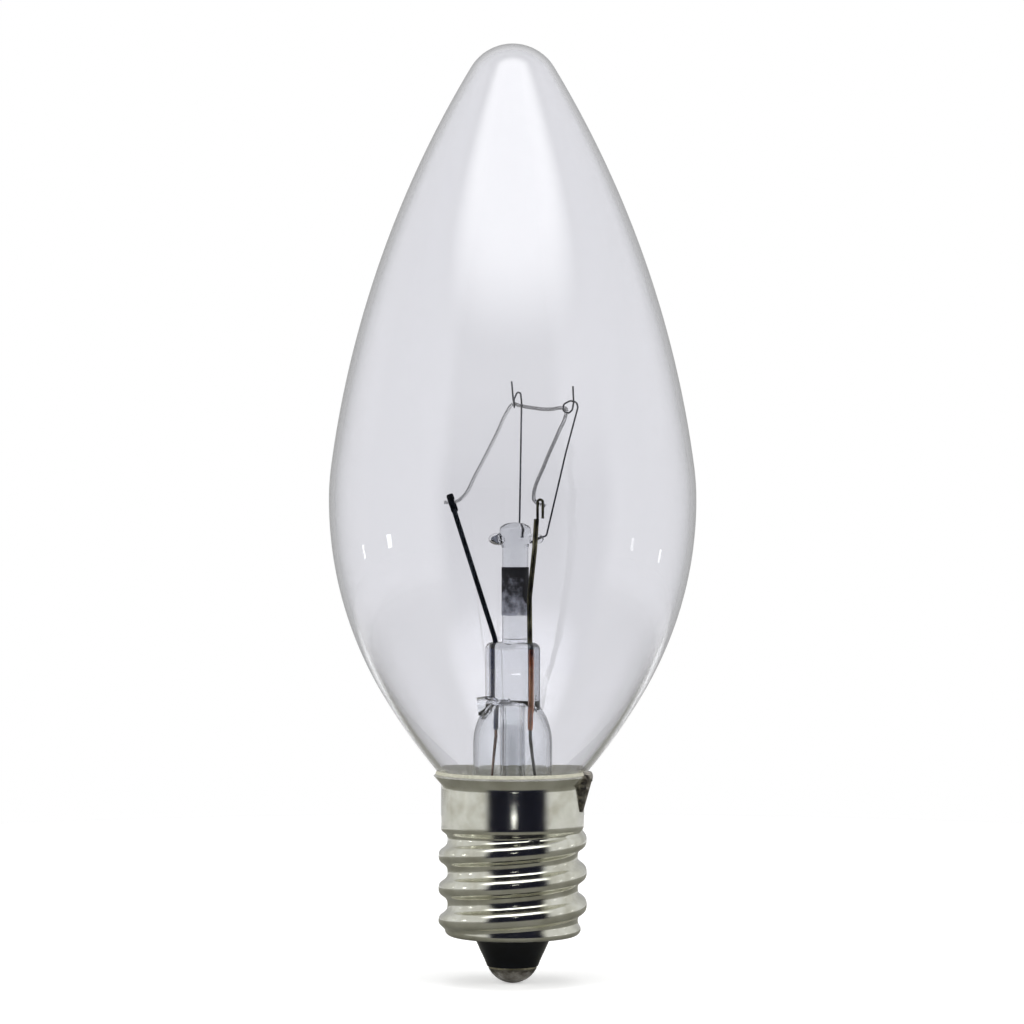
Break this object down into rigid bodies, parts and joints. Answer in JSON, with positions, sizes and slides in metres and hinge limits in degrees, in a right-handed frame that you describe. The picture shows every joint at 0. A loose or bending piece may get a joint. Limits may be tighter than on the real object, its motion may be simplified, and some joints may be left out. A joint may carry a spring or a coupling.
{
  "type": "candle light bulb",
  "caption": "Clear torpedo-shaped incandescent candle bulb with a small screw base, a coiled filament on two support wires, and an open view of the glass stem.",
  "frame": {"origin": "lowest point of the solder on the centre contact, on the axis of the bulb", "axes": "+Z along the axis of the bulb from the centre contact towards the tip of the glass, as the bulb stands in an upright candle holder; +X to the right in the picture, towards the side solder; +Y away from the viewer"},
  "size_m": [0.0286, 0.0286, 0.0734],
  "materials": {
    "clear_glass": "clear",
    "stem_glass": "clear",
    "getter": "matt",
    "tungsten": "matt",
    "molybdenum": "satin",
    "nickel_wire": "dark",
    "copper_clad_wire": "copper, oxidised",
    "nickel_plate": "nickel plated",
    "cement": "matt",
    "black_glass": "gloss",
    "brass": "plain",
    "solder": "dull"
  },
  "bodies": {
    "root": {"glass_envelope": "clear_glass", "stem_flare": "stem_glass", "exhaust_tube": "stem_glass", "arbor_rod": "stem_glass", "getter_band": "getter", "support_wire_left": "molybdenum", "support_wire_right": "molybdenum", "filament": "tungsten", "inner_lead_left": "nickel_wire", "inner_lead_right": "nickel_wire", "seal_wire_left": "copper_clad_wire", "seal_wire_right": "copper_clad_wire", "outer_lead_center": "copper_clad_wire", "outer_lead_side": "nickel_wire", "base_cement": "cement", "screw_shell": "nickel_plate", "insulator": "black_glass", "contact_eyelet": "brass", "center_solder": "solder", "side_solder": "solder"}
  },
  "joints": []
}
